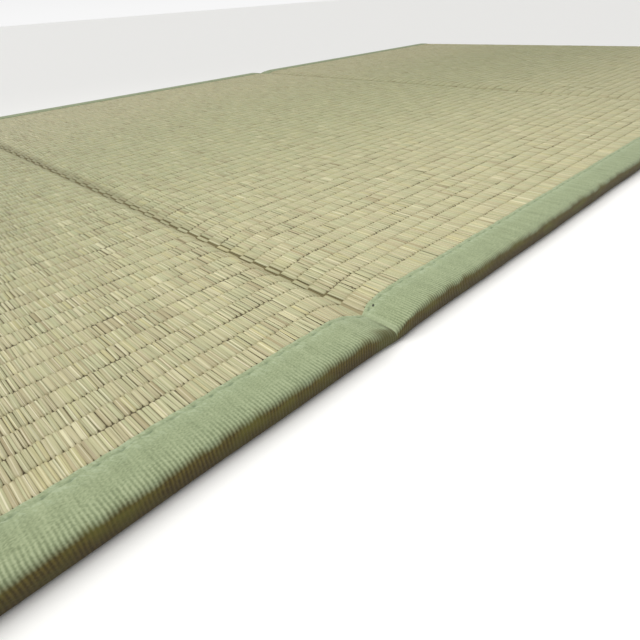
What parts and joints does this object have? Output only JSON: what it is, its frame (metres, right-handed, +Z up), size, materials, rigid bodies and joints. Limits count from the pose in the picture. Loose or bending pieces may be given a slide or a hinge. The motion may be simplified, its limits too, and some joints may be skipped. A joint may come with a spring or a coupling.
{
  "type": "folding tatami mat",
  "caption": "Thin folding floor mat faced with woven rush, its long edges bound in ribbed cloth, lying open and flat on the floor.",
  "frame": {"origin": "centre of the underside, on the floor", "axes": "+X along the mat, +Y across it, +Z up out of the woven face"},
  "size_m": [2.1, 1, 0.0134],
  "materials": {
    "rush": "dry woven rush, soft sheen",
    "binding_cloth": "matt ribbed cloth"
  },
  "bodies": {
    "root": {"rush_mat": "rush", "binding_front": "binding_cloth", "binding_back": "binding_cloth"}
  },
  "joints": []
}
